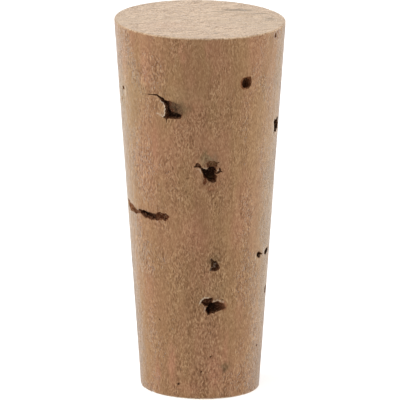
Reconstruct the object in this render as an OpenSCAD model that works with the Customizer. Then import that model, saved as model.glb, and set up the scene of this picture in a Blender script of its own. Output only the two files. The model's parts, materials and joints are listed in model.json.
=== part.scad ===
// Tapered stopper cut from one piece of natural cork, with the cork's own pores left open.
// It stands on its narrow end, centred on the origin. The front faces -Y and +X is to its right.
// Sizes are in millimetres and angles in degrees.

/* [Cork] */
// Height between the two cut ends
length = 45; // [36:0.5:56]
// Diameter of the wide end, which is uppermost
top_diameter = 20.5; // [17:0.1:26]
// Diameter of the narrow end, which it stands on
base_diameter = 14.2; // [11.5:0.1:17.5]
// How far both ends, which are parallel, are cut out of square with the taper
end_skew = 1; // [0:0.25:3]
// Width of the worn edge round each end
rim_wear = 0.15; // [0.05:0.05:0.4]

/* [Large pores] */
// Depth of the open pore beside a lifted flap of cork
flap_pore_depth = 1.6; // [0.6:0.1:2.4]
// Depth of the crack that frees the top of the flap
flap_crack_depth = 0.7; // [0.3:0.1:1.5]
// Depth of the winged pore in the middle of the front
winged_pore_depth = 1.2; // [0.5:0.1:2]
// Depth of the level slit on the left, at its middle
slit_depth = 1.5; // [1:0.1:2.4]
// Depth of the broad pore low on the front
broad_pore_depth = 1.1; // [0.5:0.1:2]

/* [Rounded pores] */
// Diameter of the clean round hole near the wide end
round_hole_diameter = 1.5; // [0.9:0.1:2.2]
// Depth of the clean round hole
round_hole_depth = 2.2; // [1:0.1:3]
// Width of the tall pore below the middle of the front
tall_pore_width = 1.15; // [0.7:0.05:1.7]
// Height of the tall pore
tall_pore_height = 1.75; // [1:0.05:2.4]
// Depth of the tall pore
tall_pore_depth = 1; // [0.5:0.1:1.8]
// Width of the single pore high on the right side
side_pore_width = 1.8; // [1:0.1:2.4]
// Height of the single side pore
side_pore_height = 1.65; // [1:0.05:2.2]
// Depth of the single side pore
side_pore_depth = 1.2; // [0.5:0.1:2]
// Width of each of the pair of pores on the right side
pair_pore_width = 1.2; // [0.7:0.1:1.6]
// Height of each of the pair
pair_pore_height = 1; // [0.6:0.1:1.5]
// Depth of each of the pair
pair_pore_depth = 0.8; // [0.4:0.1:1.4]

/* [Base chip] */
// Size of the small chip out of the lower edge
chip_size = 0.5; // [0.2:0.1:1]
// Turn of the chip from the front, towards the right
chip_turn = -54; // [-180:1:180]

/* [Hidden] */

$fn = 96;
cork_colour = [0.72, 0.55, 0.40];

// The taper is longer than the height because its axis leans by the skew of the ends
axis_length = length / cos(end_skew);
top_shift = length * tan(end_skew);
overrun = top_diameter * tan(end_skew) + 1;

// A pore's mouth is wide for this share of its depth, and below that it narrows to this share of its width
mouth_depth_share = 0.4;
core_width_share = 0.7;
// Distance that each cutter stands out of the surface
cut_clearance = 1.5;

// Turn of the chip's sphere, which keeps its poles out of the base plane
chip_pole_turn = 75;

// Angle between the points of a rounded pore's outline, and its lobes
outline_step = 20;
lobes = 3;
lobe_share = 0.06;
lobe_start = 40;

// Where each pore's middle lies: turn from the front towards the right, share of the length up from the base
flap_pore_place = [-19.5, 0.804];
winged_pore_place = [6.5, 0.635];
slit_place = [-50, 0.502];
broad_pore_place = [11.5, 0.262];
round_hole_place = [34, 0.871];
tall_pore_place = [12, 0.376];
side_pore_place = [75, 0.727];
pair_pore_places = [[58.5, 0.384], [72, 0.384]];

// Outlines of the irregular pores, from each pore's middle: across the surface, then up it.
// The crack runs on into the flap's pore, so that the two cuts overlap.
flap_pore_outline = [
    [-1.1, 1.1], [-0.95, 0.5], [-0.95, -0.4], [-1.35, -1], [-0.6, -1.2],
    [0.7, -1.1], [1, -0.5], [0.95, 0.5], [0.2, 1.05], [-0.6, 1.2]
];
flap_crack_outline = [
    [-3.5, 1.5], [-2, 1.6], [-1.5, 1.2], [-0.7, 0.6], [-0.7, 0.1], [-1.2, 0.45], [-1.65, 1.05], [-2.1, 1.4],
    [-3.5, 1.35]
];
winged_pore_outline = [
    [-1.7, 0.6], [-1.15, 1.1], [-0.8, 0.5], [-0.25, 0.25], [0, 1.1], [0.4, 1.3], [1.25, 1.1], [1.15, 0.6],
    [1.65, -0.05], [0.75, -0.5], [0.85, -0.95], [0.55, -1.3], [-0.05, -0.85], [-0.5, -0.75], [-0.95, 0.25]
];
slit_outline = [
    [-3.6, 0.4], [-2.4, 0.3], [-1.2, 0.25], [0.4, 0.3], [1.6, 0.2], [3.7, 0.35],
    [3.7, -0.1], [2.2, -0.45], [0.8, -0.5], [-0.4, -0.3], [-1.6, -0.25], [-3.1, -0.1]
];
broad_pore_outline = [
    [-1.55, 0.45], [-1.1, 0.85], [-0.55, 0.8], [-0.05, 1], [-0.2, 0.45], [0.45, 0.5], [1.25, 0.25],
    [1.55, -0.5], [0.7, -0.6], [-0.05, -0.95], [-0.6, -0.85], [-0.9, -0.55], [-0.8, -0.1], [-1.15, -0.05]
];

// Small pores: place, width, height, depth
small_pores = [
    [[-70, 0.83], 0.7, 0.45, 0.6],
    [[79, 0.27], 0.6, 1, 0.5],
    [[104, 0.56], 2.2, 0.5, 0.8],
    [[128, 0.34], 0.8, 0.6, 0.6],
    [[146, 0.8], 1.2, 1.4, 1],
    [[171, 0.58], 0.9, 0.7, 0.7],
    [[188, 0.27], 1.5, 1, 0.9],
    [[207, 0.7], 1.3, 0.8, 0.8],
    [[229, 0.43], 0.8, 1, 0.7],
    [[251, 0.16], 1.9, 0.5, 0.7]
];

function radius_at(along) = (base_diameter + (top_diameter - base_diameter) * along / axis_length) / 2;

// A rounded outline with slight lobes
function rounded_outline(width, height) = [
    for (angle = [0 : outline_step : 360 - outline_step])
        let (swell = 1 + lobe_share * sin(lobes * angle + lobe_start))
        [width / 2 * swell * cos(angle), height / 2 * swell * sin(angle)]
];

// Cuts straight in from the surface, with its floor at the given depth under the outline's middle
module cut_in(place, depth, outline) {
    along = place[1] * axis_length;
    rotate([0, 0, place[0]])
        translate([0, depth - radius_at(along), along])
            rotate([90, 0, 0])
                linear_extrude(depth + cut_clearance)
                    polygon(outline);
}

module pore(place, depth, outline) {
    cut_in(place, depth * mouth_depth_share, outline);
    cut_in(place, depth, outline * core_width_share);
}

module large_pores() {
    pore(flap_pore_place, flap_pore_depth, flap_pore_outline);
    cut_in(flap_pore_place, flap_crack_depth, flap_crack_outline);
    pore(winged_pore_place, winged_pore_depth, winged_pore_outline);
    pore(slit_place, slit_depth, slit_outline);
    pore(broad_pore_place, broad_pore_depth, broad_pore_outline);
}

module rounded_pores() {
    pore(round_hole_place, round_hole_depth, rounded_outline(round_hole_diameter, round_hole_diameter));
    pore(tall_pore_place, tall_pore_depth, rounded_outline(tall_pore_width, tall_pore_height));
    pore(side_pore_place, side_pore_depth, rounded_outline(side_pore_width, side_pore_height));
    for (place = pair_pore_places)
        pore(place, pair_pore_depth, rounded_outline(pair_pore_width, pair_pore_height));
    for (small = small_pores)
        pore(small[0], small[3], rounded_outline(small[1], small[2]));
}

// The taper about its own axis, run on past both ends
module taper() {
    translate([0, 0, -overrun])
        cylinder(
            h = axis_length + 2 * overrun,
            r1 = radius_at(-overrun),
            r2 = radius_at(axis_length + overrun)
        );
}

module between_ends() {
    translate([-top_diameter - top_shift, -top_diameter, 0])
        cube([2 * (top_diameter + top_shift), 2 * top_diameter, length]);
}

// A ring that takes a narrow 45 degree flat off an end's edge
module worn_edge(diameter) {
    inner = diameter / 2 - 2 * rim_wear;
    outer = diameter / 2 + rim_wear;
    rotate_extrude()
        polygon([[inner, rim_wear], [outer, -2 * rim_wear], [outer, rim_wear]]);
}

// A scoop out of the edge. The sphere's poles are to its sides, one a little above the base and one a
// little below it, where the worn edge has left no cork.
module base_chip() {
    rotate([0, 0, chip_turn])
        translate([0, -base_diameter / 2, 0])
            rotate([0, chip_pole_turn, 0])
                sphere(d = chip_size);
}

module stopper() {
    color(cork_colour)
        difference() {
            intersection() {
                rotate([0, -end_skew, 0])
                    difference() {
                        taper();
                        large_pores();
                        rounded_pores();
                    }
                between_ends();
            }
            translate([-top_shift, 0, length])
                worn_edge(top_diameter);
            mirror([0, 0, 1])
                worn_edge(base_diameter);
            base_chip();
        }
}

stopper();
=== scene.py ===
import json
import math

import bmesh
import bpy
import numpy as np
from mathutils import Matrix, Vector, noise

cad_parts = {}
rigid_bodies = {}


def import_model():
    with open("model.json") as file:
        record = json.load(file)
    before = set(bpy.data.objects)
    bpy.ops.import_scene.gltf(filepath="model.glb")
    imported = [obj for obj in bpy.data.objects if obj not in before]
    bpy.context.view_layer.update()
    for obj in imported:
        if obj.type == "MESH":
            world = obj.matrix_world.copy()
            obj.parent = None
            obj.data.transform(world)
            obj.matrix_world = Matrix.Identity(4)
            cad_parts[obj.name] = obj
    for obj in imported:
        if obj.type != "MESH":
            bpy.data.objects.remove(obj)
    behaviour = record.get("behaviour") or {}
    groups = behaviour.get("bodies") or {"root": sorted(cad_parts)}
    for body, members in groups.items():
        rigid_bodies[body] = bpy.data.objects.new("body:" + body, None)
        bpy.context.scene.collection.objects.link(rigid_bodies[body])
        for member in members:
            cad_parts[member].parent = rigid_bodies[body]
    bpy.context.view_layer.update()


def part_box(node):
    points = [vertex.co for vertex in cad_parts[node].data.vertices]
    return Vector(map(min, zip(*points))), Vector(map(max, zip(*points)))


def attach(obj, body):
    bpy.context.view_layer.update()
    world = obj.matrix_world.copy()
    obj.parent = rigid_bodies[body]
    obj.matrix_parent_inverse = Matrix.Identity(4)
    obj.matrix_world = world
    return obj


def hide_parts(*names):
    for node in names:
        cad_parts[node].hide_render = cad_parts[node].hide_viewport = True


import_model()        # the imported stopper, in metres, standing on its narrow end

mm = 0.001
noise.seed_set(1)       # or noise_vector() starts from the clock, and each run crumbles the pores anew

# Sizes of the stopper. Its height and wide end come from the frame.
stopperShape = {
    "baseDiameter": 14.2 * mm,
    "endSkew": math.radians(1),      # both ends are cut this far out of square with the taper
    "rimWear": 0.15 * mm,
    "facesRound": 264,
    "rowsUp": 200,
    "endInsets": (0.2 * mm, 0.25 * mm),
    "finerCuts": 2,                  # cuts across each face near a large pore
    "smoothAngle": math.radians(40),
    "uneven": 0.03 * mm,             # how deep the ground side dips
    "endUneven": 0.5,                # how deep the ends dip, as a share of that
    "unevenSize": 1.3 * mm,
    "pitDepth": 0.05 * mm,           # the fine pits along the grain
    "pitSize": 0.32 * mm,
    "pitStretch": 2.4,
    "pitGain": 1.6,                  # more of it gives the pits flatter floors
    "rimNick": 0.09 * mm,            # how deep the rims crumble
    "rimNickSize": 0.5 * mm,
    "rimReach": 2.5,                 # how far up the side the rims crumble, in widths of the rim
}

low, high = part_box("stopper")
length = high.z - low.z
baseRadius = stopperShape["baseDiameter"] / 2
rimWear = stopperShape["rimWear"]
skew = stopperShape["endSkew"]
topRadius = high.y + rimWear * (high.y - baseRadius) / (length - rimWear)
axisLength = length / math.cos(skew)
flare = (topRadius - baseRadius) / axisLength
lean = Matrix.Rotation(-skew, 4, "Y")        # stands the taper's own axis as it leans in the frame


def radiusAt(along):
    return baseRadius + flare * along


def sidePlace(turn, rise):
    # a place on the side, with x across, y up and z outwards
    along = rise * axisLength
    return (lean @ Matrix.Rotation(math.radians(turn), 4, "Z")
            @ Matrix.Translation((0, -radiusAt(along), along)) @ Matrix.Rotation(math.radians(90), 4, "X"))


# The open pores. turn is in degrees from the front towards the right and rise is a share of the length.
# Outlines, depths and sizes are in mm from there, and tilt makes the floor deeper that way.
poreStyle = {
    "pointStep": 0.075,
    "rowStep": 0.09,
    "fewestPoints": 12,
    "fewestRows": 3,
    "floorRings": (0.8, 0.6, 0.4, 0.2),
    "crumble": 0.08,                 # how ragged the walls are
    "crumbleSize": 0.2,
    "fineCrumble": (2.7, 0.5),       # how much finer the second noise is, and how strong beside the first
    "seedStep": 3.7,                 # keeps two pores from crumbling alike
    "lobes": 0.16,                   # how far rounded pores are from true ovals
    "lobeSpread": 1.3,               # more of it gives an oval more lobes
    "mouthFlare": 0.04,              # the mouth is this much wider than the wall below it
    "narrow": 0.72,                  # width of the floor as a share of the mouth
    "shallowest": 0.12,              # least share of the depth where the floor tilts up
    "above": 0.5,                    # how far a cutter stands out of the surface
}


def poreAt(name, turn, rise, depth, **shape):
    # shape is a size or an outline, and what differs from poreStyle
    return {"name": name, "turn": turn, "rise": rise, "depth": depth, **shape}


pores = [
    poreAt("roundHole", 34.4, 0.869, 1.0, layer=1, narrow=0.92, crumble=0.03, lobes=0.06, size=(1.22, 1.24)),
    poreAt("roundHoleEdge", 34, 0.869, 0.16, narrow=0.86, crumble=0.03, outline=[
        (-0.86, 0.0), (-0.8, 0.4), (-0.48, 0.72), (0.0, 0.8), (0.36, 0.76), (0.62, 0.78), (0.7, 0.46),
        (0.82, 0.1), (0.74, -0.38), (0.42, -0.74), (0.0, -0.84), (-0.48, -0.74), (-0.82, -0.38)]),
    poreAt("flapDish", -19.5, 0.804, 0.5, tilt=(-0.36, -0.4), narrow=0.9, outline=[
        (-0.9, -1.1), (0.84, -1.1), (1.14, -0.85), (1.22, -0.3), (1.12, 0.3), (0.8, 0.55),
        (0.3, 0.75), (-0.3, 0.95), (-1.0, 1.0), (-0.85, 0.3), (-0.85, -0.6)]),
    poreAt("flapSlot", -19.5, 0.804, 1.0, layer=1, narrow=0.75, crumble=0.05, outline=[
        (-1.38, -1.12), (-0.9, -1.34), (-0.4, -1.24), (0.3, -1.28), (0.95, -1.18), (1.1, -1.0),
        (0.95, -0.78), (0.3, -0.6), (-0.35, -0.5), (-0.68, -0.2), (-0.74, 0.35), (-0.9, 0.85),
        (-1.2, 1.28), (-1.72, 1.42), (-1.54, 1.12), (-1.54, 0.86), (-1.14, 0.64), (-1.2, 0.5),
        (-0.98, 0.32), (-1.04, 0.1), (-0.87, -0.08), (-1.08, -0.3), (-0.94, -0.5), (-1.08, -0.7),
        (-1.02, -0.88)]),
    poreAt("flapGroove", -18.3, 0.804, 0.5, layer=2, narrow=0.3, outline=[
        (-0.26, -0.85), (0.26, -0.85), (0.24, 0.35), (0.0, 0.5), (-0.2, 0.3)]),
    poreAt("flapCrack", -29, 0.804, 0.45, crumble=0.02, layer=3, outline=[
        (-1.95, 1.47), (-0.45, 1.62), (0.3, 1.25), (0.6, 0.75), (0.3, 0.75), (-0.05, 1.1),
        (-0.5, 1.42), (-1.95, 1.4)]),
    poreAt("flapTail", -19.5, 0.804, 0.4, crumble=0.02, layer=3, outline=[
        (-0.98, -1.2), (-0.78, -1.2), (-0.82, -1.85), (-0.9, -1.85)]),
    poreAt("winged", 6.5, 0.635, 1.25, crumble=0.1, outline=[
        (-0.98, 0.45), (-0.26, 0.2), (0.05, 0.55), (0.8, 0.5), (1.0, 0.05), (0.82, -0.4),
        (1.05, -0.7), (0.9, -1.05), (0.92, -1.4), (0.42, -1.5), (0.0, -1.36), (-0.2, -1.0),
        (-0.55, -0.86), (-0.8, -0.19), (-0.94, 0.25)]),
    poreAt("leftWing", 6.5, 0.635, 0.5, layer=1, outline=[
        (-1.85, 0.42), (-1.55, 0.92), (-1.28, 1.1), (-1.0, 0.85), (-0.8, 0.5), (-0.35, 0.15),
        (-0.75, -0.1), (-1.02, 0.4), (-1.3, 0.52)]),
    poreAt("rightWing", 6.5, 0.635, 0.4, layer=1, crumble=0.1, outline=[
        (-0.15, 0.35), (-0.25, 0.95), (0.05, 1.3), (0.45, 1.2), (0.7, 1.3), (0.95, 1.05),
        (1.35, 1.12), (1.1, 0.8), (1.05, 0.45), (0.9, 0.2)]),
    poreAt("wingHook", 6.5, 0.635, 0.55, layer=2, crumble=0.03, outline=[
        (1.25, 0.42), (1.5, 0.28), (1.5, -0.02), (1.85, -0.22), (1.45, -0.2), (1.1, -0.42),
        (0.55, -0.35), (0.6, -0.1), (0.95, -0.22), (1.2, -0.02)]),
    poreAt("wingPit", 3.6, 0.607, 0.2, layer=3, size=(0.5, 0.95), crumble=0.0),
    poreAt("wingTick", 4.4, 0.665, 0.14, size=(0.24, 0.5)),
    poreAt("slitLeft", -66, 0.502, 0.42, crumble=0.1, outline=[
        (-2.2, 0.62), (-1.6, 0.85), (-0.9, 0.5), (-0.3, 0.55), (0.3, 0.35), (0.9, 0.12), (1.7, 0.12),
        (1.8, -0.2), (1.1, -0.38), (0.5, -0.55), (-0.1, -0.36), (-0.8, -0.4), (-1.6, -0.3),
        (-2.1, 0.1)]),
    poreAt("slitMiddle", -50, 0.502, 0.95, layer=2, crumble=0.11, outline=[
        (-1.3, 0.2), (-0.95, 0.34), (-0.3, 0.28), (0.1, 0.42), (0.6, 0.22), (1.1, 0.3), (1.6, 0.12),
        (1.7, -0.5), (1.2, -0.7), (0.5, -0.5), (0.1, -0.62), (-0.4, -0.35), (-1.0, -0.2)]),
    poreAt("slitRight", -36, 0.502, 0.5, layer=1, crumble=0.12, outline=[
        (-1.0, 0.1), (-0.6, 0.32), (-0.2, 0.2), (0.0, 0.5), (0.42, 0.55), (0.8, 0.42), (1.2, 0.5),
        (1.8, 0.15), (1.55, -0.2), (1.25, -0.5), (0.6, -0.4), (0.2, -0.58), (-0.9, -0.6)]),
    poreAt("tall", 12, 0.376, 0.75, crumble=0.05, outline=[
        (-0.6, -0.86), (-0.3, -0.86), (0.1, -0.92), (0.42, -0.82), (0.7, -0.52), (0.66, -0.2),
        (0.44, 0.05), (0.3, 0.28), (0.24, 0.52), (0.04, 0.34), (-0.14, 0.52), (-0.32, 0.78),
        (-0.5, 0.52), (-0.38, 0.2), (-0.44, -0.1), (-0.4, -0.42), (-0.62, -0.66)]),
    poreAt("broadLeft", 11.5, 0.262, 0.75, layer=1, outline=[
        (-1.48, 0.49), (-1.07, 0.89), (-0.53, 0.85), (-0.05, 1.02), (0.03, 0.78), (-0.2, 0.45),
        (0.0, 0.2), (-0.2, -0.1), (-0.76, -0.09), (-1.11, -0.02), (-1.35, 0.2)]),
    poreAt("broadRight", 11.5, 0.262, 1.2, tilt=(-0.4, 0.15), outline=[
        (-0.05, 0.35), (0.45, 0.5), (1.3, 0.2), (1.5, -0.12), (1.85, -0.55), (1.3, -0.62),
        (0.72, -0.75), (0.1, -1.02), (-0.35, -1.08), (-0.6, -1.3), (-0.76, -1.28), (-0.68, -1.05),
        (-0.98, -0.62), (-0.78, -0.1), (-0.3, 0.1)]),
    poreAt("broadDot", 19.5, 0.275, 0.25, size=(0.22, 0.22)),
    poreAt("highSide", 75, 0.727, 1.7, narrow=0.95, crumble=0.12, outline=[
        (-1.05, 0.5), (-0.72, 0.85), (-0.2, 0.6), (0.3, 0.86), (0.78, 0.6), (0.72, 0.2), (1.1, -0.1),
        (1.02, -0.7), (0.5, -0.72), (0.2, -1.02), (-0.35, -0.78), (-0.85, -1.0), (-0.72, -0.2)]),
    poreAt("pairFront", 59, 0.3815, 0.8, narrow=0.9, crumble=0.02, outline=[
        (-0.68, 0.15), (-0.54, 0.34), (-0.2, 0.48), (0.0, 0.29), (0.42, 0.12), (0.7, -0.03),
        (0.64, -0.2), (0.22, -0.05), (0.08, -0.13), (0.22, -0.29), (0.07, -0.42), (-0.25, -0.4),
        (-0.58, -0.16)]),
    poreAt("pairBack", 72, 0.3815, 1.1, narrow=0.95, crumble=0.02, outline=[
        (-0.35, -0.42), (-0.66, -0.13), (-0.43, 0.11), (-0.07, 0.31), (0.46, 0.42), (0.68, 0.18),
        (0.5, -0.12), (0.12, -0.37)]),
    poreAt("leftDot", -70, 0.832, 0.6, size=(0.7, 0.45)),
    poreAt("leftGroove", -73, 0.83, 0.25, crumble=0.02, layer=1, outline=[
        (0.3, 0.1), (0.45, 0.05), (0.0, -0.9), (-0.4, -1.8), (-0.6, -1.75), (-0.15, -0.8)]),
    poreAt("rightLow", 79, 0.27, 0.5, size=(0.6, 1.0)),
    poreAt("rimTick", 62, 0.981, 0.5, size=(0.42, 0.62)),
    poreAt("speckA", -20.7, 0.04, 0.3, size=(0.3, 0.35)),
    poreAt("speckB", 9.7, 0.119, 0.3, size=(0.22, 0.26)),
    poreAt("speckC", 1, 0.077, 0.3, size=(0.2, 0.28)),
    poreAt("speckD", 64.7, 0.125, 0.3, size=(0.45, 0.25)),
    poreAt("speckE", -38.5, 0.213, 0.3, size=(0.2, 0.3)),
    poreAt("backA", 104, 0.56, 0.8, size=(2.2, 0.5)),
    poreAt("backB", 128, 0.34, 0.6, size=(0.8, 0.6)),
    poreAt("backC", 146, 0.8, 1.0, size=(1.2, 1.4)),
    poreAt("backD", 171, 0.58, 0.7, size=(0.9, 0.7)),
    poreAt("backE", 188, 0.27, 0.9, size=(1.5, 1.0)),
    poreAt("backF", 207, 0.7, 0.8, size=(1.3, 0.8)),
    poreAt("backG", 229, 0.43, 0.7, size=(0.8, 1.0)),
    poreAt("backH", 251, 0.16, 0.7, size=(1.9, 0.5)),
]

# Soft dents and raised lips in the side: place, width and height in mm, and depth in mm, below 0 for a lip
dents = [
    {"turn": -19.5, "rise": 0.804, "width": 1.0, "depth": -0.06, "path": [
        (-1.75, 1.15), (-1.15, 0.5), (-1.05, -0.1), (-1.15, -0.75), (-1.45, -1.1)]},
    {"turn": -13, "rise": 0.808, "size": (1.6, 2.4), "depth": 0.16},
    {"turn": -81, "rise": 0.79, "size": (0.8, 0.6), "depth": 0.14},
    {"turn": -75, "rise": 0.81, "size": (1.2, 2.0), "depth": 0.08},
    {"turn": 5, "rise": 0.66, "size": (1.6, 1.2), "depth": 0.05},
    {"turn": 13, "rise": 0.64, "size": (1.2, 1.6), "depth": 0.08},
    {"turn": 2, "rise": 0.27, "size": (0.9, 0.8), "depth": 0.06},
    {"turn": 21, "rise": 0.25, "size": (1.0, 1.0), "depth": 0.06},
    {"turn": -54, "rise": 0.002, "size": (0.8, 0.5), "depth": 0.22},
]

# Places that need smaller faces, and how far that goes in mm
finerPlaces = [
    {"turn": -19.5, "rise": 0.804, "reach": 2.6},
    {"turn": 7, "rise": 0.635, "reach": 2.2},
    {"turn": 11.5, "rise": 0.262, "reach": 2.0},
    {"turn": 12, "rise": 0.376, "reach": 1.2},
    {"turn": -62, "rise": 0.502, "reach": 1.5},
    {"turn": -45, "rise": 0.502, "reach": 1.9},
    {"turn": -75, "rise": 0.8, "reach": 1.2},
]

markStyle = {
    "edgeSize": 0.5 * mm,            # how broken the edges of stains and painted light are
    "edgeDrift": (3, 0.008),         # how far the edges wander, in degrees round and as a share of the length
    "markDrift": 0.4,                # the same for marks on the cut end, as a share of their size
    "endDepth": 0.05,                # marks on the cut end reach this many mm down
    "backHalo": 1.4,                 # the brown round a pore at the back is this many mm wider than it
}

olive, pink, brown = (0.29, 0.19, 0.09), (0.42, 0.185, 0.11), (0.20, 0.09, 0.045)
# The first colour in this row is painted sheen, laid along both sides as the camera sees them
limbSheen, umber, rust = (0.37, 0.27, 0.165), (0.125, 0.078, 0.032), (0.24, 0.085, 0.035)
# The last colour in this row is near-black painted shade for the pore walls
grey, ivory, poreShade = (0.15, 0.10, 0.06), (0.72, 0.60, 0.46), (0.012, 0.007, 0.005)
peat, reddish, smoke = (0.075, 0.042, 0.018), (0.15, 0.055, 0.026), (0.125, 0.082, 0.046)


def markAt(turn, rise, colour, strength, **mark):
    # mark is a size, or the width and path of a line, in mm
    return {"turn": turn, "rise": rise, "colour": colour, "strength": strength, **mark}


# Stains in the cork, and painted light among them: the pale pore lips are partly painted highlight, one spot
# is a painted highlight and two long bands are painted sheen. They mix by their strength where they meet
stainsAndPaintedLight = [
    markAt(-15, 0.803, umber, 0.9, size=(3.6, 3.4)),
    # The ivory lines along the pore lips that follow, up to the umber ones, are partly the lighter broken
    # cells and partly painted highlight
    markAt(-19.5, 0.804, ivory, 0.95, width=0.18, path=[
        (-1.6, 0.88), (-1.2, 0.64), (-1.25, 0.5), (-1.04, 0.32), (-1.09, 0.1), (-0.93, -0.08),
        (-1.13, -0.3), (-1.0, -0.5), (-1.13, -0.7), (-1.1, -0.9), (-1.42, -1.06)]),
    markAt(-19.5, 0.804, ivory, 0.55, width=0.24, path=[(-1.4, -1.0), (-1.7, -0.85), (-2.25, -0.72)]),
    markAt(6.5, 0.635, ivory, 0.4, width=0.22, path=[(-1.45, 0.3), (-1.05, 0.3), (-0.92, -0.25)]),
    markAt(6.5, 0.635, ivory, 0.4, width=0.2, path=[(-0.6, 0.4), (-0.2, 0.3), (-0.05, 0.6)]),
    markAt(11.5, 0.262, ivory, 0.7, width=0.24, path=[
        (-1.62, 0.25), (-1.5, 0.6), (-1.1, 0.98), (-0.6, 0.98)]),
    markAt(11.5, 0.262, ivory, 0.6, width=0.22, path=[(0.02, 0.48), (0.5, 0.6), (1.3, 0.32)]),
    markAt(11.5, 0.262, ivory, 0.4, width=0.22, path=[(-1.1, -0.15), (-0.98, -0.4), (-1.1, -0.8)]),
    markAt(58.5, 0.384, ivory, 0.5, width=0.3, path=[(-0.85, 0.1), (-0.8, -0.4), (-0.35, -0.85)]),
    markAt(72, 0.384, ivory, 0.5, width=0.5, path=[(-0.8, 0.4), (-0.7, -0.5)]),
    markAt(75, 0.727, ivory, 0.5, width=0.5, path=[(-1.25, 0.6), (-1.0, -0.1), (-1.15, -0.8)]),
    markAt(-70, 0.832, ivory, 0.6, width=0.5, path=[(0.5, 0.05), (0.7, -0.5), (0.5, -1.0)]),
    markAt(-70, 0.832, umber, 0.5, width=0.4, path=[(1.0, 0.1), (1.4, -0.7), (1.6, -1.0)]),
    markAt(-73, 0.83, umber, 0.5, width=0.6, path=[
        (0.3, 0.0), (-0.1, -0.9), (-0.5, -1.8), (-0.7, -2.6)]),
    # painted sheen: two pale straw bands along both sides as seen from the camera
    markAt(-82, 0.5, limbSheen, 0.55, size=(9, 70)),
    markAt(76, 0.5, limbSheen, 0.6, size=(13, 80)),
    markAt(-36, 0.5, brown, 0.14, size=(5, 80)),
    markAt(-62, 0.8, olive, 0.5, size=(9, 15)),
    markAt(-76, 0.815, olive, 0.4, size=(3.0, 4.6)),
    markAt(4.5, 0.681, umber, 0.65, size=(1.7, 1.6)),
    markAt(70, 0.362, umber, 0.4, size=(0.9, 0.7)),
    markAt(20.5, 0.258, rust, 0.7, width=0.7, path=[(0.0, 0.5), (0.3, 0.1), (0.2, -0.4)]),
    markAt(8, 0.66, grey, 0.6, size=(3.2, 2.6)),
    markAt(7, 0.615, brown, 0.3, size=(2.6, 2.4)),
    # painted highlight on the cork nib beside the winged pore
    markAt(14.0, 0.636, ivory, 1.0, size=(0.36, 0.4)),
    markAt(3.6, 0.607, brown, 0.55, width=0.3, path=[
        (-0.2, 0.5), (-0.3, 0.0), (-0.1, -0.5), (0.2, -0.4), (0.28, 0.1), (0.1, 0.5), (-0.2, 0.5)]),
    markAt(11.5, 0.38, umber, 0.75, size=(2.2, 2.8)),
    markAt(7, 0.272, grey, 0.45, size=(3.0, 2.0)),
    markAt(12, 0.255, brown, 0.3, size=(3.8, 3.0)),
    markAt(-48, 0.502, brown, 0.5, size=(7.5, 1.7)),
    markAt(-14, 0.845, olive, 0.35, size=(8, 3)),
    markAt(-45, 0.84, olive, 0.3, size=(6, 4)),
    markAt(3.5, 0.668, olive, 0.5, size=(2.4, 2)),
    markAt(13, 0.3, olive, 0.35, size=(4, 4)),
    markAt(21.5, 0.081, peat, 1.6, size=(1.5, 0.7)),
    markAt(24, 0.088, umber, 0.7, size=(2.6, 1.4)),
    markAt(49, 0.1, olive, 0.2, size=(5, 6)),
    markAt(14, 0.6, rust, 0.5, size=(1.2, 0.9)),
    markAt(9, 0.588, rust, 0.8, size=(1.5, 0.9)),
    markAt(0, 0.269, brown, 0.4, size=(0.6, 0.7)),
    markAt(-35, 0.69, pink, 0.3, size=(1.6, 12)),
    markAt(-9, 0.465, pink, 0.3, size=(5, 9)),
    markAt(2, 0.43, pink, 0.22, size=(2.5, 6)),
    markAt(30, 0.45, pink, 0.22, size=(2.5, 8)),
    markAt(-12, 0.96, pink, 0.45, size=(0.9, 4.5)),
    markAt(-41, 0.89, pink, 0.35, size=(2, 7)),
    markAt(-27, 0.1, pink, 0.5, size=(1.6, 9)),
    markAt(-44, 0.06, pink, 0.4, size=(1.2, 6)),
    markAt(13, 0.07, pink, 0.5, size=(2.6, 8)),
    markAt(24, 0.14, pink, 0.4, size=(1.2, 6)),
    markAt(-10, 0.03, pink, 0.3, size=(5, 3)),
    markAt(5, 0.965, pink, 0.4, size=(0.8, 3.5)),
]

stainsAndPaintedLight += [
    markAt(pore["turn"], pore["rise"], brown, 0.35,
            size=[side + markStyle["backHalo"] for side in pore["size"]])
    for pore in pores if pore["name"].startswith("back")
]
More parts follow.
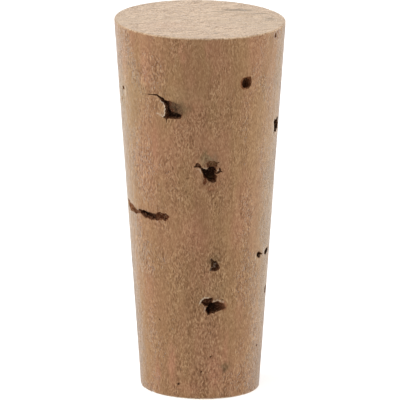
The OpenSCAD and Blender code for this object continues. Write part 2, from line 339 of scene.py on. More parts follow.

# Tints on the pore walls, with near-black painted shade laid over walls, floors and grooves that the lamps
# would light
wallStainsAndShade = [
    markAt(75, 0.727, poreShade, 3, size=(5, 5)),
    markAt(72, 0.384, poreShade, 2, size=(3, 3)),
    markAt(57.5, 0.384, poreShade, 1, size=(2, 2)),
    markAt(34, 0.869, (0.12, 0.042, 0.016), 1.6, size=(4, 4)),
    markAt(34.6, 0.869, (0.07, 0.042, 0.036), 1.5, size=(1.1, 1.1)),
    markAt(-15.5, 0.81, smoke, 2, size=(3, 3)),
    markAt(-19.5, 0.804, poreShade, 1.3, width=0.8, path=[
        (-1.4, 1.2), (-0.8, 0.5), (-0.75, -0.9), (0.5, -0.95)]),
    markAt(-19.5, 0.804, poreShade, 0.8, width=0.62, path=[(0.2, 0.5), (0.2, -0.7)]),
    markAt(-19.5, 0.804, reddish, 0.8, width=0.5, path=[(-1.8, 1.5), (-1.3, 1.1), (-1.0, 0.7)]),
    markAt(6.5, 0.63, poreShade, 0.65, size=(2.2, 2.0)),
    markAt(9, 0.256, poreShade, 1.0, size=(2.8, 1.6)),
    markAt(16, 0.253, poreShade, 0.5, size=(1.8, 1.4)),
    markAt(6.5, 0.272, poreShade, 0.4, size=(1.8, 1.2)),
    markAt(11, 0.658, umber, 0.8, size=(1.8, 1.4)),
    markAt(12, 0.607, reddish, 0.9, size=(1.2, 1.2)),
    markAt(8.5, 0.612, umber, 0.9, size=(0.8, 0.8)),
    markAt(-54, 0.502, poreShade, 0.6, size=(1.6, 1.2)),
    markAt(-38, 0.502, (0.09, 0.028, 0.012), 1.0, size=(5.5, 1.8)),
    markAt(-66, 0.502, (0.11, 0.05, 0.024), 0.8, size=(3.2, 1.8)),
    markAt(22, 0.253, reddish, 1.2, size=(1.6, 1.8)),
    markAt(12, 0.376, (0.07, 0.038, 0.014), 0.9, size=(1.6, 2.0)),
    # painted highlight: the pale C shape on the tall pore's wall
    markAt(12, 0.376, (0.42, 0.34, 0.27), 1.6, width=0.22, path=[
        (0.34, -0.08), (0.12, -0.16), (0.08, -0.38), (0.22, -0.52)]),
    markAt(9.5, 0.3604, ivory, 0.9, size=(0.34, 0.3)),
    markAt(60, 0.378, (0.3, 0.2, 0.13), 1.0, size=(0.7, 0.6)),
]

# Marks on the cut end: place, width and depth in mm, colour and strength
endMarks = [
    {"place": (3.6, 5.1), "size": (5.4, 1.1), "colour": umber, "strength": 1.4},
    {"place": (1.6, 4.0), "size": (3.4, 0.8), "colour": umber, "strength": 0.8},
    {"place": (6.4, 3.4), "size": (3.4, 0.8), "colour": umber, "strength": 0.7},
    {"place": (7.6, 0.8), "size": (2.2, 2.4), "colour": umber, "strength": 0.6},
    {"place": (1.1, -7.1), "size": (0.7, 1.0), "colour": umber, "strength": 1.2},
    {"place": (5.0, 3.0), "size": (9.0, 7.0), "colour": olive, "strength": 0.3},
    {"place": (-5.0, -3.5), "size": (8.0, 6.0), "colour": pink, "strength": 0.15},
]


def deselectAll():
    if bpy.context.object and bpy.context.object.mode != "OBJECT":
        bpy.ops.object.mode_set(mode="OBJECT")
    bpy.ops.object.select_all(action="DESELECT")


def makeActive(piece):
    deselectAll()
    piece.select_set(True)
    bpy.context.view_layer.objects.active = piece


def pickFaces(piece, wanted):
    # selects the faces that wanted() accepts, in edit mode
    mesh = bmesh.from_edit_mesh(piece.data)
    for face in mesh.faces:
        face.select_set(False)
    for face in mesh.faces:
        if wanted(face):
            face.select_set(True)
    bmesh.update_edit_mesh(piece.data)


def pickEdges(piece, wanted):
    mesh = bmesh.from_edit_mesh(piece.data)
    for face in mesh.faces:
        face.select_set(False)
    for edge in mesh.edges:
        edge.select_set(False)
    for edge in mesh.edges:
        if wanted(edge):
            edge.select_set(True)
    bmesh.update_edit_mesh(piece.data)


def isEndCap(face):
    return abs(face.normal.z) > 0.99 and len(face.verts) >= stopperShape["facesRound"]


def makeBody():
    overrun = topRadius * math.tan(skew) + 1 * mm
    deselectAll()
    bpy.ops.mesh.primitive_cone_add(
        vertices=stopperShape["facesRound"],
        radius1=radiusAt(-overrun),
        radius2=radiusAt(axisLength + overrun),
        depth=axisLength + 2 * overrun,
        location=lean @ Vector((0, 0, axisLength / 2)),
        rotation=(0, -skew, 0))
    body = bpy.context.object
    body.name = "corkStopper"
    bpy.ops.object.transform_apply(location=True, rotation=True, scale=True)
    bpy.ops.object.mode_set(mode="EDIT")
    bpy.ops.mesh.select_mode(type="EDGE")
    for height, upwards in ((0, 1), (length, -1)):
        bpy.ops.mesh.select_all(action="SELECT")
        bpy.ops.mesh.bisect(plane_co=(0, 0, height), plane_no=(0, 0, upwards),
                            use_fill=True, clear_inner=True)
    pickEdges(body, lambda edge: abs(edge.verts[0].co.z - edge.verts[1].co.z) > length / 2)
    bpy.ops.mesh.subdivide(number_cuts=stopperShape["rowsUp"])
    pickEdges(body, lambda edge: any(isEndCap(face) for face in edge.link_faces))
    bpy.ops.mesh.bevel(offset=rimWear, segments=3, profile=0.5)
    bpy.ops.mesh.select_mode(type="FACE")
    for step in stopperShape["endInsets"]:
        pickFaces(body, isEndCap)
        bpy.ops.mesh.inset(thickness=step)
    for upwards in (-1, 1):
        pickFaces(body, lambda face: isEndCap(face) and face.normal.z * upwards > 0)
        bpy.ops.mesh.delete(type="ONLY_FACE")
        bpy.ops.mesh.select_mode(type="EDGE")
        pickEdges(body, lambda edge: len(edge.link_faces) == 1)
        bpy.ops.mesh.fill_grid(span=stopperShape["facesRound"] // 4)
        bpy.ops.mesh.select_mode(type="FACE")
    bpy.ops.mesh.select_all(action="SELECT")
    bpy.ops.mesh.normals_make_consistent(inside=False)
    bpy.ops.object.mode_set(mode="OBJECT")
    print("body:", len(body.data.polygons), "faces")
    return body


def readPoints(piece):
    flat = np.empty(len(piece.data.vertices) * 3)
    piece.data.vertices.foreach_get("co", flat)
    return flat.reshape(-1, 3)


def onTaper(points):
    # turn in degrees, rise and radius of points, about the taper's own axis
    across, away, up = (points @ np.array(lean.to_3x3())).T
    return np.degrees(np.arctan2(across, -away)), up / axisLength, np.hypot(across, away)


def brush(turns, rises, spot):
    # a soft brush: 1 in the middle of the spot, or along its path, and 0 at its edge
    radius = radiusAt(spot["rise"] * axisLength) / mm
    across = np.radians((turns - spot["turn"] + 180) % 360 - 180) * radius
    up = (rises - spot["rise"]) * axisLength / mm
    if "path" in spot:
        place = np.stack([across, up], axis=1)
        reach = np.full(len(across), np.inf)
        for start, end in zip(spot["path"], spot["path"][1:]):
            start, along = np.array(start), np.array(end) - np.array(start)
            share = np.clip((place - start) @ along / (along @ along), 0, 1)
            reach = np.minimum(reach, np.linalg.norm(place - start - share[:, None] * along, axis=1))
        reach = reach * 2 / spot["width"]
    else:
        reach = np.sqrt((across * 2 / spot["size"][0]) ** 2 + (up * 2 / spot["size"][1]) ** 2)
    fade = np.clip(1 - reach, 0, 1)
    return fade * fade * (3 - 2 * fade)


def refineNear(body, spots):
    # smaller faces where a pore's lip or a dent needs them
    bpy.ops.object.mode_set(mode="EDIT")
    places = [(sidePlace(spot["turn"], spot["rise"]).translation, spot["reach"] * mm) for spot in spots]
    pickFaces(body, lambda face: any((face.calc_center_median() - middle).length < reach
                                     for middle, reach in places))
    bpy.ops.mesh.subdivide(number_cuts=stopperShape["finerCuts"])
    bpy.ops.object.mode_set(mode="OBJECT")


def splitFaces(piece):
    # triangles by shape alone, so that they are the same in every run
    makeActive(piece)
    bpy.ops.object.mode_set(mode="EDIT")
    bpy.ops.mesh.select_all(action="SELECT")
    bpy.ops.mesh.quads_convert_to_tris(quad_method="SHORTEST_DIAGONAL", ngon_method="BEAUTY")
    bpy.ops.object.mode_set(mode="OBJECT")


def shapeSurface(body):
    # dents, lips, the ground side's slight waves and the crumbled rims, all along the taper's radius
    points = readPoints(body)
    turns, rises, radii = onTaper(points)
    sink = np.zeros(len(points))
    for dent in dents:
        sink += brush(turns, rises, dent) * dent["depth"] * mm
    inwards = points * (-1, -1, 0)
    inwards /= np.maximum(np.linalg.norm(inwards, axis=1), 1e-6)[:, None]
    waves = np.array([noise.noise(Vector(p) / stopperShape["unevenSize"]) for p in points]) * 0.5 + 0.5
    nicks = np.array([noise.noise(Vector(p) / stopperShape["rimNickSize"]) for p in points])
    along = np.array([1, 1, 1 / stopperShape["pitStretch"]]) / stopperShape["pitSize"]
    pits = np.array([noise.noise(Vector(p)) for p in points * along])
    nearSide = radii > (baseRadius + flare * rises * axisLength) - 1.5 * rimWear
    toEnd = np.minimum(points[:, 2], length - points[:, 2])
    rim = np.clip(1 - toEnd / (stopperShape["rimReach"] * rimWear), 0, 1) * nearSide
    sink += nearSide * waves * stopperShape["uneven"]
    sink += nearSide * np.clip(pits * stopperShape["pitGain"], 0, 1) * stopperShape["pitDepth"]
    sink += rim * np.clip(nicks, 0, 1) * stopperShape["rimNick"]
    points += inwards * (sink * nearSide)[:, None]
    onEnd = toEnd < 0.02 * mm
    endDip = np.where(onEnd & ~nearSide, waves * stopperShape["uneven"] * stopperShape["endUneven"], 0)
    points[:, 2] += np.where(points[:, 2] < length / 2, endDip, -endDip)
    body.data.vertices.foreach_set("co", points.ravel())
    body.data.update()
    splitFaces(body)


def poreOutline(pore):
    # evenly spaced points round the mouth, anticlockwise
    step = poreStyle["pointStep"]
    if "size" in pore:
        width, height = pore["size"]
        count = max(poreStyle["fewestPoints"], round(math.pi * (width + height) / 2 / step))
        lobes, spread = pore.get("lobes", poreStyle["lobes"]), poreStyle["lobeSpread"]
        points = []
        for i in range(count):
            across, up = math.cos(math.tau * i / count), math.sin(math.tau * i / count)
            swell = 1 + lobes * 2 * noise.noise(Vector((across * spread, up * spread, pore["turn"])))
            points.append(Vector((width / 2 * across * swell, height / 2 * up * swell, 0)))
        return points
    corners = [Vector((*corner, 0)) for corner in pore["outline"]]
    points = []
    for start, end in zip(corners, corners[1:] + corners[:1]):
        count = max(1, round((end - start).length / step))
        points += [start.lerp(end, i / count) for i in range(count)]
    for softening in range(2):       # takes the sharp corners off
        before, after = points[-1:] + points[:-1], points[1:] + points[:1]
        points = [(a + 2 * point + b) / 4 for a, point, b in zip(before, points, after)]
    area = sum(a.x * b.y - b.x * a.y for a, b in zip(points, points[1:] + points[:1]))
    return points if area > 0 else points[::-1]


def crumbled(point, amount, seed):
    # moves a point by two sizes of noise
    finer, share = poreStyle["fineCrumble"]
    coarse = noise.noise_vector(point / poreStyle["crumbleSize"] + Vector((seed, 0, 0)))
    fine = noise.noise_vector(point / poreStyle["crumbleSize"] * finer + Vector((0, seed, 0)))
    return point + coarse * amount + fine * amount * share


def scaleRing(share, middle):
    bpy.ops.transform.resize(value=(share, share, 1), center_override=middle)


def makeCutter(pore, seed):
    # a closed plug of the pore's shape, its mouth standing clear of the surface
    outline = poreOutline(pore)
    depth, narrow = pore["depth"], pore.get("narrow", poreStyle["narrow"])
    tilt = pore.get("tilt", (0, 0))
    middle = sum(outline, Vector()) / len(outline)
    deselectAll()
    bpy.ops.mesh.primitive_circle_add(vertices=len(outline), radius=1, fill_type="NGON")
    cutter = bpy.context.object
    cutter.name = pore["name"]
    flareScale = 1 + poreStyle["mouthFlare"]
    for vertex, point in zip(cutter.data.vertices, outline):
        vertex.co = middle + (point - middle) * flareScale + Vector((0, 0, poreStyle["above"]))
    bpy.ops.object.mode_set(mode="EDIT")
    bpy.ops.mesh.select_all(action="SELECT")
    rows = max(poreStyle["fewestRows"], round(depth / poreStyle["rowStep"]))
    heights = [0] + [-depth * (i + 1) / rows for i in range(rows)]
    width, place = flareScale, poreStyle["above"]
    for height in heights:
        share = -height / depth
        nextWidth = flareScale if height == 0 else 1 - (1 - narrow) * share ** 2
        bpy.ops.mesh.extrude_region_move(TRANSFORM_OT_translate={"value": (0, 0, height - place)})
        scaleRing(nextWidth / width, middle)
        width, place = nextWidth, height
    for ring in poreStyle["floorRings"]:
        bpy.ops.mesh.extrude_region_move()
        nextWidth = narrow * ring
        scaleRing(nextWidth / width, middle)
        width = nextWidth
    bpy.ops.mesh.select_all(action="SELECT")
    bpy.ops.mesh.normals_make_consistent(inside=False)
    bpy.ops.object.mode_set(mode="OBJECT")
    amount = pore.get("crumble", poreStyle["crumble"])
    for vertex in cutter.data.vertices:
        point = vertex.co.copy()
        slope = 1 + tilt[0] * point.x + tilt[1] * point.y
        if point.z < 0:
            point.z *= max(poreStyle["shallowest"], slope)
        vertex.co = crumbled(point, amount, seed) * mm
    splitFaces(cutter)
    cutter.data.transform(sidePlace(pore["turn"], pore["rise"]))
    cutter.data.update()
    return cutter


def openPores(body):
    # pores in one layer don't touch, so each layer is cut in one pass
    for layer in sorted({pore.get("layer", 0) for pore in pores}):
        cutters = [makeCutter(pore, poreStyle["seedStep"] * i) for i, pore in enumerate(pores)
                   if pore.get("layer", 0) == layer]
        deselectAll()
        for cutter in cutters:
            cutter.select_set(True)
        bpy.context.view_layer.objects.active = cutters[0]
        bpy.ops.object.join()
        cutters = bpy.context.object
        for material in body.data.materials:
            cutters.data.materials.append(material)
        cutters.data.polygons.foreach_set("material_index", [1] * len(cutters.data.polygons))
        makeActive(body)
        cut = body.modifiers.new("pores", "BOOLEAN")
        cut.operation = "DIFFERENCE"
        cut.solver = "MANIFOLD"
        cut.object = cutters
        bpy.ops.object.modifier_apply(modifier=cut.name)
        bpy.data.objects.remove(cutters)
        print("pores, layer", layer, "->", len(body.data.polygons), "faces")


def joinSeams(body):
    # a corner that only two faces share would fold when they are split, so it is dissolved first
    makeActive(body)
    bpy.ops.object.mode_set(mode="EDIT")
    bpy.ops.mesh.select_mode(type="VERT")
    bpy.ops.mesh.select_all(action="DESELECT")
    mesh = bmesh.from_edit_mesh(body.data)
    for corner in mesh.verts:
        corner.select_set(len(corner.link_edges) == 2)
    bmesh.update_edit_mesh(body.data)
    bpy.ops.mesh.dissolve_verts()
    bpy.ops.mesh.select_mode(type="FACE")
    bpy.ops.object.mode_set(mode="OBJECT")
    splitFaces(body)
    print("seams joined ->", len(body.data.polygons), "faces")


def dropCrumbs(body):
    # cork that the cuts have freed falls out, and what hangs together with the top end stays
    makeActive(body)
    bpy.ops.object.mode_set(mode="EDIT")
    pickFaces(body, lambda face: min(corner.co.z for corner in face.verts) > length - rimWear / 2)
    bpy.ops.mesh.select_linked()
    bpy.ops.mesh.select_all(action="INVERT")
    bpy.ops.mesh.delete(type="VERT")
    bpy.ops.object.mode_set(mode="OBJECT")
    print("crumbs dropped ->", len(body.data.polygons), "faces")


def layMark(colours, colour, strength):
    # mixes a colour with those already there, by its share of their strength together
    total = np.maximum(colours[:, 3] + strength, 1e-6)
    share = (strength / total)[:, None]
    colours[:, :3] = colours[:, :3] * (1 - share) + np.array(colour) * share
    colours[:, 3] = np.minimum(total, 1)


def paintStainsAndLight(body, name, spots, marks=()):
    # a colour attribute: rgb is the colour of the stains and painted light, and alpha its strength
    points = readPoints(body)
    turns, rises, radii = onTaper(points)
    colours = np.zeros((len(points), 4))
    ragged = np.array([noise.noise(Vector(p) / markStyle["edgeSize"]) for p in points])
    driftRound, driftUp = markStyle["edgeDrift"]
    for spot in spots:
        blur = 0 if "path" in spot else 1
        reach = brush(turns + ragged * driftRound * blur, rises + ragged * driftUp * blur, spot)
        layMark(colours, spot["colour"], reach * spot["strength"])
    points /= mm
    onTop = points[:, 2] > length / mm - markStyle["endDepth"]
    for mark in marks:
        reach = np.hypot((points[:, 0] - mark["place"][0]) * 2 / mark["size"][0],
                         (points[:, 1] - mark["place"][1]) * 2 / mark["size"][1])
        reach = np.clip(1 - reach + ragged * markStyle["markDrift"], 0, 1)
        layMark(colours, mark["colour"], reach * mark["strength"] * onTop)
    layer = body.data.color_attributes.new(name, "FLOAT_COLOR", "POINT")
    layer.data.foreach_set("color", colours.ravel())


corkFinish = {
    "tan": (0.318, 0.166, 0.080, 1),
    "pinkish": (0.330, 0.162, 0.086, 1),
    "greenish": (0.292, 0.168, 0.073, 1),
    "tintShare": 0.6,                # how far the tan wanders to pinkish and greenish
    "light": (0.60, 0.385, 0.215, 1),
    "lightShare": 0.66,
    "dark": (0.125, 0.050, 0.016, 1),
    "darkShare": 0.95,
    "bandShare": 0.3,
    "cellShare": 0.22,
    "overGrain": 0.4,                # how much of the stains and painted light lies over the grain
    "endTan": (0.575, 0.415, 0.275, 1),
    "endDark": (0.22, 0.120, 0.055, 1),
    "endEdge": (0.17, 0.1),          # mm from the end where the side's colour gives way to the end's; it takes in the worn rim, so the rim gets a pale line of painted highlight
    "relief": {"streaks": 0.9, "speckle": 0.35, "cells": 0.4},
    "bumpHeight": 0.085 * mm,
    "roughness": (0.62, 0.8),
    "specular": 0.2,
    "sheen": 1.0,
    "sheenRoughness": 0.25,
}

# The cork's noises, each with its features a millimetre, stretch along the grain, detail and roughness
corkGrain = {
    "fibres": (7.8, 3.6, 2, 0.6),
    "fibreGain": 1.5,
    "ridges": (3.0, 4.5, 2, 0.6),
    "ridgeWidth": 0.09,
    "ridgeGain": 0.14,
    "busy": (0.42, 2.2, 2, 0.5),     # where the grain is strong and where it is faint
    "busyBase": 0.05,                # how much stronger it is at the narrow end
    "bands": (1.1, 12, 3, 0.55),
    "tint": (0.42, 4, 2, 0.5),
    "speckle": (9, 1.6, 2, 0.6),
    "cells": (3.6, 3.6, 2.0),
    "bends": ((0.45, 0.9), (1.7, 0.22)),      # features a millimetre and reach in mm
}

endLines = {
    "turn": -0.42,
    "bend": (0.35, 1.4),             # features a millimetre and reach in mm
    "broad": (0.8, 3.6, 1),
    "broadShare": 0.4,
    "fine": (6.5, 5, 1),
    "fineShare": 0.6,
}

poreFinish = {
    "edge": (0.34, 0.19, 0.10, 1),
    "edgeDepth": 0.2,                # in mm, as the other depths
    "brown": (0.200, 0.090, 0.042, 1),
    "red": (0.140, 0.044, 0.020, 1),
    # Painted shade: the walls darken towards this near-black with depth below the skin, between the next two
    # depths, by at most the share after them
    "deep": (0.020, 0.009, 0.006, 1),
    "deepFrom": 0.35,
    "deepTo": 1.25,
    "deepShare": 0.94,
    "fleck": (0.34, 0.21, 0.135, 1),
    "torn": (3.5, 1.4, 3, 0.7),
    "tornReach": 0.28,
    "flecks": (5.5, 1.2, 2, 0.65),
    "bumpHeight": 0.12 * mm,
    "specular": 0.02,
}


def newGroup(name, inputs, outputs):
    tree = bpy.data.node_groups.new(name, "ShaderNodeTree")
    for label, kind, value in inputs:
        socket = tree.interface.new_socket(name=label, in_out="INPUT", socket_type=kind)
        if value is not None:
            socket.default_value = value
    for label, kind in outputs:
        tree.interface.new_socket(name=label, in_out="OUTPUT", socket_type=kind)
    return tree, tree.nodes.new("NodeGroupInput"), tree.nodes.new("NodeGroupOutput")


def addNode(tree, kind, links=None, **settings):
    # a node with its settings, then its inputs: a socket is linked and anything else is set
    node = tree.nodes.new(kind)
    for name, value in settings.items():
        setattr(node, name, value)
    for name, value in (links or {}).items():
        if isinstance(value, bpy.types.NodeSocket):
            tree.links.new(value, node.inputs[name])
        else:
            node.inputs[name].default_value = value
    return node


def compute(tree, operation, a, b=None):
    links = {0: a} if b is None else {0: a, 1: b}
    return addNode(tree, "ShaderNodeMath", links, operation=operation).outputs[0]


def remap(tree, value, fromLow, fromHigh, toLow=0, toHigh=1, smooth=False):
    ends = {"From Min": fromLow, "From Max": fromHigh, "To Min": toLow, "To Max": toHigh}
    return addNode(tree, "ShaderNodeMapRange", {"Value": value, **ends},
                   interpolation_type="SMOOTHSTEP" if smooth else "LINEAR").outputs[0]


def mixColours(tree, share, a, b):
    node = addNode(tree, "ShaderNodeMix", data_type="RGBA")
    for name, value in (("Factor_Float", share), ("A_Color", a), ("B_Color", b)):
        socket = next(s for s in node.inputs if s.identifier == name)
        if isinstance(value, bpy.types.NodeSocket):
            tree.links.new(value, socket)
        else:
            socket.default_value = value
    return next(s for s in node.outputs if s.identifier == "Result_Color")


def placedNoise(tree, vector, scale, **more):
    # noise with as many features a millimetre as scale says, each way
    placed = addNode(tree, "ShaderNodeMapping", {"Vector": vector, "Scale": scale}).outputs[0]
    return addNode(tree, "ShaderNodeTexNoise", {"Vector": placed, "Scale": 1, **more}).outputs[0]


def stretchedNoise(tree, vector, scale, stretch, detail, roughness):
    # noise with scale features a millimetre across the grain, and stretch times as long up it
    return placedNoise(tree, vector, (scale, scale, scale / stretch), Detail=detail, Roughness=roughness)


def bendPlace(tree, place, vector, scale, reach):
    # moves a place by up to half of reach, in waves with scale features a millimetre
    wave = addNode(tree, "ShaderNodeTexNoise", {"Vector": vector, "Scale": scale, "Detail": 1})
    centred = addNode(tree, "ShaderNodeVectorMath", {0: wave.outputs["Color"], 1: (0.5, 0.5, 0.5)},
                      operation="SUBTRACT")
    scaled = addNode(tree, "ShaderNodeVectorMath", {0: centred.outputs[0], "Scale": reach}, operation="SCALE")
    return addNode(tree, "ShaderNodeVectorMath", {0: place, 1: scaled.outputs[0]}, operation="ADD").outputs[0]


def grainGroup():
    # the cork's grain in millimetres: streaks along it, broad bands, fine speckle and tiny open cells
    labels = ("Streaks", "Bands", "Tint", "Speckle", "Cells")
    tree, source, result = newGroup(
        "corkGrain", [("Vector", "NodeSocketVector", None)], [(label, "NodeSocketFloat") for label in labels])
    vector = source.outputs["Vector"]
    wavy = vector
    for scale, reach in corkGrain["bends"]:
        wavy = bendPlace(tree, wavy, vector, scale, reach)
    fibres = stretchedNoise(tree, wavy, *corkGrain["fibres"])
    ridges = stretchedNoise(tree, wavy, *corkGrain["ridges"])
    crest = compute(tree, "ABSOLUTE", compute(tree, "SUBTRACT", ridges, 0.5))
    crest = remap(tree, crest, 0, corkGrain["ridgeWidth"], 1, 0, smooth=True)
    busy = stretchedNoise(tree, vector, *corkGrain["busy"])
    height = addNode(tree, "ShaderNodeSeparateXYZ", {0: vector}).outputs["Z"]
    towardsBase = remap(tree, height, 0, length / mm, corkGrain["busyBase"], -corkGrain["busyBase"])
    busy = compute(tree, "ADD", busy, towardsBase)
    contrast = remap(tree, busy, 0.40, 0.60, 0.5, 1.05)
    fibres = compute(tree, "MULTIPLY", compute(tree, "SUBTRACT", fibres, 0.5), corkGrain["fibreGain"])
    crest = compute(tree, "MULTIPLY", compute(tree, "SUBTRACT", crest, 0.35), corkGrain["ridgeGain"])
    mixed = compute(tree, "ADD", fibres, crest)
    streaks = compute(tree, "ADD", compute(tree, "MULTIPLY", mixed, contrast), 0.5)
    bands = stretchedNoise(tree, wavy, *corkGrain["bands"])
    tint = stretchedNoise(tree, wavy, *corkGrain["tint"])
    speckle = stretchedNoise(tree, vector, *corkGrain["speckle"])
    cellPlace = addNode(tree, "ShaderNodeMapping", {"Vector": wavy, "Scale": corkGrain["cells"]}).outputs[0]
    cells = addNode(tree, "ShaderNodeTexVoronoi", {"Vector": cellPlace, "Scale": 1}, feature="F1")
    sizes = remap(tree, busy, 0.42, 0.65, 0.05, 0.36)      # cells open wider where the grain is busy
    cells = remap(tree, compute(tree, "SUBTRACT", sizes, cells.outputs["Distance"]), -0.06, 0.06)
    for label, value in zip(labels, (streaks, bands, tint, speckle, cells)):
        tree.links.new(value, result.inputs[label])
    return tree


def endGrainGroup():
    # the growth lines that cross a cut end, from left to right and a little askew
    tree, source, result = newGroup(
        "endGrain", [("Vector", "NodeSocketVector", None)], [("Lines", "NodeSocketFloat")])
    scale, reach = endLines["bend"]
    turned = addNode(tree, "ShaderNodeMapping",
                     {"Vector": source.outputs["Vector"], "Rotation": (0, 0, endLines["turn"])}).outputs[0]
    wave = addNode(tree, "ShaderNodeTexNoise", {"Vector": turned, "Scale": scale, "Detail": 2})
    bend = addNode(tree, "ShaderNodeVectorMath", {0: wave.outputs["Color"], "Scale": reach},
                   operation="SCALE").outputs[0]
    lined = addNode(tree, "ShaderNodeVectorMath", {0: turned, 1: bend}, operation="ADD").outputs[0]
    broad = placedNoise(tree, lined, endLines["broad"], Detail=3)
    fine = placedNoise(tree, lined, endLines["fine"], Detail=2)
    both = compute(tree, "ADD", compute(tree, "MULTIPLY", broad, endLines["broadShare"]),
                   compute(tree, "MULTIPLY", fine, endLines["fineShare"]))
    tree.links.new(both, result.inputs["Lines"])
    return tree


def skinGroup():
    # depth in millimetres below the taper's side, and distance from the nearer end
    tree, source, result = newGroup(
        "belowSkin",
        [("Own", "NodeSocketVector", None), ("Frame", "NodeSocketVector", None),
         ("Base Radius", "NodeSocketFloat", baseRadius / mm), ("Flare", "NodeSocketFloat", flare),
         ("Length", "NodeSocketFloat", length / mm)],
        [("Depth", "NodeSocketFloat"), ("From End", "NodeSocketFloat")])
    own = addNode(tree, "ShaderNodeSeparateXYZ", {0: source.outputs["Own"]})
    height = addNode(tree, "ShaderNodeSeparateXYZ", {0: source.outputs["Frame"]}).outputs["Z"]
    across = addNode(tree, "ShaderNodeCombineXYZ", {"X": own.outputs["X"], "Y": own.outputs["Y"]}).outputs[0]
    radius = addNode(tree, "ShaderNodeVectorMath", {0: across}, operation="LENGTH").outputs["Value"]
    skin = addNode(tree, "ShaderNodeMath",
                   {0: own.outputs["Z"], 1: source.outputs["Flare"], 2: source.outputs["Base Radius"]},
                   operation="MULTIPLY_ADD").outputs[0]
    below = compute(tree, "SUBTRACT", skin, radius)
    fromTop = compute(tree, "SUBTRACT", source.outputs["Length"], height)
    fromEnd = compute(tree, "MINIMUM", fromTop, height)
    tree.links.new(compute(tree, "MINIMUM", below, fromEnd), result.inputs["Depth"])
    tree.links.new(fromEnd, result.inputs["From End"])
    return tree


def startMaterial(name):
    # places in millimetres in the frame and along the taper, and how far below the skin they are
    material = bpy.data.materials.new(name)
    material.use_nodes = True
    tree = material.node_tree
    place = addNode(tree, "ShaderNodeTexCoord").outputs["Object"]
    frameMm = addNode(tree, "ShaderNodeVectorMath", {0: place, "Scale": 1 / mm}, operation="SCALE").outputs[0]
    ownMm = addNode(tree, "ShaderNodeMapping", {"Vector": frameMm, "Rotation": (0, skew, 0)}).outputs[0]
    skin = addNode(tree, "ShaderNodeGroup", node_tree=belowSkin)
    tree.links.new(ownMm, skin.inputs["Own"])
    tree.links.new(frameMm, skin.inputs["Frame"])
    skin.inputs["Base Radius"].default_value = baseRadius / mm
    skin.inputs["Flare"].default_value = flare
    skin.inputs["Length"].default_value = length / mm
    return material, tree, tree.nodes["Principled BSDF"], frameMm, ownMm, skin


def linkBump(tree, shader, height, distance):
    bump = addNode(tree, "ShaderNodeBump", {"Height": height, "Strength": 1, "Distance": distance})
    tree.links.new(bump.outputs[0], shader.inputs["Normal"])


def poreMaterial():
    finish, reach = poreFinish, poreFinish["tornReach"]
    material, tree, shader, frameMm, ownMm, skin = startMaterial("tornPoreWall")
    torn = stretchedNoise(tree, ownMm, *finish["torn"])
    flecks = stretchedNoise(tree, ownMm, *finish["flecks"])
    depth = compute(tree, "ADD", skin.outputs["Depth"], remap(tree, torn, 0.35, 0.65, reach, -reach))
    wall = mixColours(tree, remap(tree, flecks, 0.42, 0.58), finish["red"], finish["brown"])
    colour = mixColours(tree, remap(tree, depth, 0.0, finish["edgeDepth"]), finish["edge"], wall)
    # painted shade: the wall colour darkens the deeper it lies below the skin
    paintedShade = remap(tree, depth, finish["deepFrom"], finish["deepTo"], 0, finish["deepShare"])
    colour = mixColours(tree, paintedShade, colour, finish["deep"])
    stainAndPaintedLight = addNode(tree, "ShaderNodeAttribute", attribute_name="wallStainAndShade")
    share = compute(tree, "MULTIPLY", stainAndPaintedLight.outputs["Alpha"], remap(tree, flecks, 0.35, 0.6, 1, 0.55))
    colour = mixColours(tree, share, colour, stainAndPaintedLight.outputs["Color"])
    flecked = remap(tree, flecks, 0.56, 0.68)      # fainter deep down, where the painted shade lies, and under strong wall tints and painted shade
    flecked = compute(tree, "MULTIPLY", flecked, remap(tree, depth, 1.3, 0.5, 0.1, 0.75))
    flecked = compute(tree, "MULTIPLY", flecked, remap(tree, stainAndPaintedLight.outputs["Alpha"], 0.8, 1, 1, 0.35))
    colour = mixColours(tree, flecked, colour, finish["fleck"])
    tree.links.new(colour, shader.inputs["Base Color"])
    linkBump(tree, shader, torn, finish["bumpHeight"])
    tree.links.new(remap(tree, torn, 0.2, 0.8, 0.8, 1), shader.inputs["Roughness"])
    shader.inputs["Specular IOR Level"].default_value = finish["specular"]
    return material


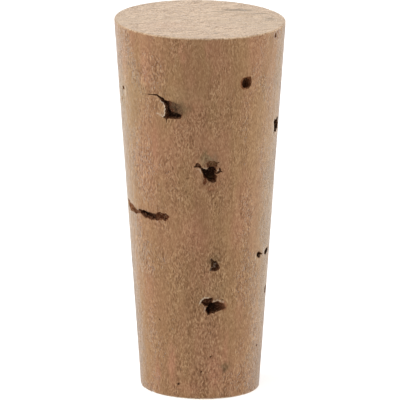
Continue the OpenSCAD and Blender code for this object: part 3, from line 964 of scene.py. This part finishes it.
def corkMaterial():
    finish, relief = corkFinish, corkFinish["relief"]
    material, tree, shader, frameMm, ownMm, skin = startMaterial("naturalCork")
    grain = addNode(tree, "ShaderNodeGroup", node_tree=grainGroup())
    tree.links.new(ownMm, grain.inputs["Vector"])
    streaks, bands, tint = (grain.outputs[name] for name in ("Streaks", "Bands", "Tint"))
    speckle, cells = grain.outputs["Speckle"], grain.outputs["Cells"]
    lines = addNode(tree, "ShaderNodeGroup", node_tree=endGrainGroup())
    tree.links.new(frameMm, lines.inputs["Vector"])
    lines = lines.outputs["Lines"]
    # this attribute holds real stains and painted light: highlights on pore lips and sheen along the sides
    stainAndPaintedLight = addNode(tree, "ShaderNodeAttribute", attribute_name="stainAndPaintedLight")
    stainAndLightColour, stainAndLightShare = stainAndPaintedLight.outputs["Color"], stainAndPaintedLight.outputs["Alpha"]
    overGrain = compute(tree, "MULTIPLY", stainAndLightShare, finish["overGrain"])
    endMask = remap(tree, skin.outputs["From End"], *finish["endEdge"])

    side = mixColours(tree, remap(tree, tint, 0.38, 0.62), finish["greenish"], finish["pinkish"])
    side = mixColours(tree, finish["tintShare"], finish["tan"], side)
    side = mixColours(tree, stainAndLightShare, side, stainAndLightColour)
    side = mixColours(tree, remap(tree, bands, 0.35, 0.7, 0, finish["bandShare"]), side, finish["dark"])
    side = mixColours(tree, remap(tree, streaks, 0.5, 0.86, 0, finish["lightShare"]), side, finish["light"])
    side = mixColours(tree, remap(tree, streaks, 0.5, 0.12, 0, finish["darkShare"]), side, finish["dark"])
    side = mixColours(tree, compute(tree, "MULTIPLY", cells, finish["cellShare"]), side, finish["dark"])
    side = mixColours(tree, overGrain, side, stainAndLightColour)
    end = mixColours(tree, remap(tree, lines, 0.42, 0.62), finish["endTan"], finish["endDark"])
    end = mixColours(tree, stainAndLightShare, end, stainAndLightColour)
    tree.links.new(mixColours(tree, endMask, side, end), shader.inputs["Base Color"])

    height = compute(tree, "ADD", compute(tree, "MULTIPLY", streaks, relief["streaks"]),
                     compute(tree, "MULTIPLY", speckle, relief["speckle"]))
    height = compute(tree, "SUBTRACT", height, compute(tree, "MULTIPLY", cells, relief["cells"]))
    height = addNode(tree, "ShaderNodeMix", {0: endMask, 2: height, 3: lines}).outputs[0]
    linkBump(tree, shader, height, finish["bumpHeight"])
    tree.links.new(remap(tree, speckle, 0.2, 0.8, *finish["roughness"]), shader.inputs["Roughness"])
    shader.inputs["Specular IOR Level"].default_value = finish["specular"]
    shader.inputs["Sheen Weight"].default_value = finish["sheen"]
    shader.inputs["Sheen Roughness"].default_value = finish["sheenRoughness"]
    return material


belowSkin = skinGroup()
body = makeBody()
body.data.materials.append(corkMaterial())
body.data.materials.append(poreMaterial())
refineNear(body, finerPlaces)
shapeSurface(body)
openPores(body)
joinSeams(body)
dropCrumbs(body)
print("pore wall faces:", sum(face.material_index == 1 for face in body.data.polygons))
makeActive(body)
bpy.ops.object.shade_smooth_by_angle(angle=stopperShape["smoothAngle"])
paintStainsAndLight(body, "stainAndPaintedLight", stainsAndPaintedLight, endMarks)
paintStainsAndLight(body, "wallStainAndShade", wallStainsAndShade)
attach(body, "root")
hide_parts("stopper")
print("stopper finished:", sum(len(face.vertices) - 2 for face in body.data.polygons), "triangles")

studio = {
    "floorSize": 4.0,
    "floorColour": (0.6, 0.6, 0.6, 1),
    "floorRoughness": 0.9,
    "floorGlow": 0.5,
    "sky": 0.42,
    "backdrop": (1, 1, 1, 1),
}

# Turn from the front towards the right, height angle, distance and size in metres, and brightness
softboxes = [
    {"name": "leftSoftbox", "turn": -96, "height": 30, "distance": 0.7, "size": 0.35, "level": 0.98},
    {"name": "rightSoftbox", "turn": 100, "height": 30, "distance": 0.7, "size": 0.35, "level": 0.84},
    {"name": "topSoftbox", "turn": -20, "height": 70, "distance": 0.7, "size": 0.3, "level": 0.2},
]


def makeFloor():
    deselectAll()
    bpy.ops.mesh.primitive_plane_add(size=studio["floorSize"])
    floor = bpy.context.object
    floor.name = "floor"
    material = bpy.data.materials.new("palePaper")
    material.use_nodes = True
    shader = material.node_tree.nodes["Principled BSDF"]
    shader.inputs["Base Color"].default_value = studio["floorColour"]
    shader.inputs["Roughness"].default_value = studio["floorRoughness"]
    shader.inputs["Specular IOR Level"].default_value = 0.0
    shader.inputs["Emission Color"].default_value = (1, 1, 1, 1)
    shader.inputs["Emission Strength"].default_value = studio["floorGlow"]
    floor.data.materials.append(material)


def makeLights():
    world = bpy.data.worlds.new("studio")
    bpy.context.scene.world = world
    world.use_nodes = True
    tree = world.node_tree
    tree.nodes.clear()
    lit = addNode(tree, "ShaderNodeBackground", {"Color": (1, 1, 1, 1), "Strength": studio["sky"]})
    seen = addNode(tree, "ShaderNodeBackground", {"Color": studio["backdrop"], "Strength": 1})
    toCamera = addNode(tree, "ShaderNodeLightPath").outputs["Is Camera Ray"]
    mixed = addNode(tree, "ShaderNodeMixShader", {0: toCamera, 1: lit.outputs[0], 2: seen.outputs[0]})
    output = addNode(tree, "ShaderNodeOutputWorld")
    tree.links.new(mixed.outputs[0], output.inputs["Surface"])
    for box in softboxes:
        turn, height = math.radians(box["turn"]), math.radians(box["height"])
        level = math.cos(height)
        outwards = Vector((math.sin(turn) * level, -math.cos(turn) * level, math.sin(height)))
        middle = Vector((0, 0, length / 2))
        deselectAll()
        bpy.ops.object.light_add(type="AREA", location=outwards * box["distance"] + middle)
        light = bpy.context.object
        light.name = box["name"]
        light.rotation_mode = "QUATERNION"
        light.rotation_quaternion = outwards.to_track_quat("Z", "Y")
        light.data.size = box["size"]
        light.data.energy = box["level"] * (math.pi * box["distance"]) ** 2      # as bright from any distance
    bpy.context.scene.view_settings.view_transform = "Standard"


camera = {
    "elevation": math.radians(14.2),
    "distance": 1.343,
    "lens": 1010.5,
    "aim": (-0.006 * mm, 0.276 * mm),      # how far right of and above the stopper's middle it looks
    "clip": (0.05, 10),
}


def makeCamera():
    deselectAll()
    bpy.ops.object.camera_add()
    view = bpy.context.object
    view.name = "camera"
    back = Vector((0, -math.cos(camera["elevation"]), math.sin(camera["elevation"])))
    target = Vector((camera["aim"][0], 0, axisLength / 2 + camera["aim"][1]))
    turned = (-back).to_track_quat("-Z", "Y").to_matrix().to_4x4()
    view.matrix_world = lean @ Matrix.Translation(target + back * camera["distance"]) @ turned
    view.data.lens = camera["lens"]
    view.data.clip_start, view.data.clip_end = camera["clip"]
    bpy.context.scene.camera = view


makeFloor()
makeLights()
makeCamera()
print("studio ready")
